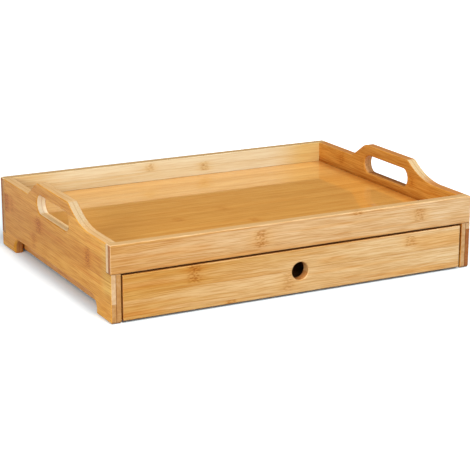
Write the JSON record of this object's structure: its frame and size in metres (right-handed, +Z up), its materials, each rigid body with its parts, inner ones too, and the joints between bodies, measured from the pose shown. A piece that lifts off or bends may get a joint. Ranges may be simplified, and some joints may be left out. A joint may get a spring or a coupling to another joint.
{
  "type": "serving tray with drawer",
  "caption": "Bamboo serving tray with swept cut-out handles and feet in its side panels, over a full-width sliding drawer with a round finger hole.",
  "frame": {"origin": "on the ground, below the middle of the tray", "axes": "+X along the tray's length, from the left handle to the right one; the drawer opens towards -Y; +Z up"},
  "size_m": [0.5, 0.375, 0.117],
  "materials": {
    "side_panel_bamboo": "clear satin lacquer",
    "front_rail_bamboo": "clear satin lacquer",
    "back_panel_bamboo": "clear satin lacquer",
    "tray_floor_bamboo": "clear gloss lacquer",
    "drawer_front_bamboo": "clear satin lacquer",
    "drawer_box_bamboo": "clear satin lacquer",
    "drawer_bottom_bamboo": "clear satin lacquer",
    "dowel_beech": "raw",
    "screw_steel": "zinc plated"
  },
  "bodies": {
    "carcass": {"left_side_panel": "side_panel_bamboo", "right_side_panel": "side_panel_bamboo", "front_rail": "front_rail_bamboo", "back_panel": "back_panel_bamboo", "tray_floor": "tray_floor_bamboo", "left_drawer_runner": "drawer_box_bamboo", "right_drawer_runner": "drawer_box_bamboo", "left_rail_dowel_lower": "dowel_beech", "left_rail_dowel_upper": "dowel_beech", "right_rail_dowel_lower": "dowel_beech", "right_rail_dowel_upper": "dowel_beech", "left_back_dowel_lower": "dowel_beech", "left_back_dowel_middle": "dowel_beech", "left_back_dowel_upper": "dowel_beech", "right_back_dowel_lower": "dowel_beech", "right_back_dowel_middle": "dowel_beech", "right_back_dowel_upper": "dowel_beech", "left_runner_screw_1": "screw_steel", "left_runner_screw_2": "screw_steel", "left_runner_screw_3": "screw_steel", "right_runner_screw_1": "screw_steel", "right_runner_screw_2": "screw_steel", "right_runner_screw_3": "screw_steel"},
    "drawer": {"drawer_front": "drawer_front_bamboo", "drawer_bottom": "drawer_bottom_bamboo", "drawer_left_side": "drawer_box_bamboo", "drawer_right_side": "drawer_box_bamboo", "drawer_back": "drawer_box_bamboo", "drawer_front_dowel_left_lower": "dowel_beech", "drawer_front_dowel_left_upper": "dowel_beech", "drawer_front_dowel_right_lower": "dowel_beech", "drawer_front_dowel_right_upper": "dowel_beech", "drawer_back_dowel_left_lower": "dowel_beech", "drawer_back_dowel_left_upper": "dowel_beech", "drawer_back_dowel_right_lower": "dowel_beech", "drawer_back_dowel_right_upper": "dowel_beech"}
  },
  "joints": [
    {"name": "drawer_slide", "type": "slide", "parent": "carcass", "child": "drawer", "axis": [0, -1, 0], "range_m": [0, 0.27]}
  ]
}
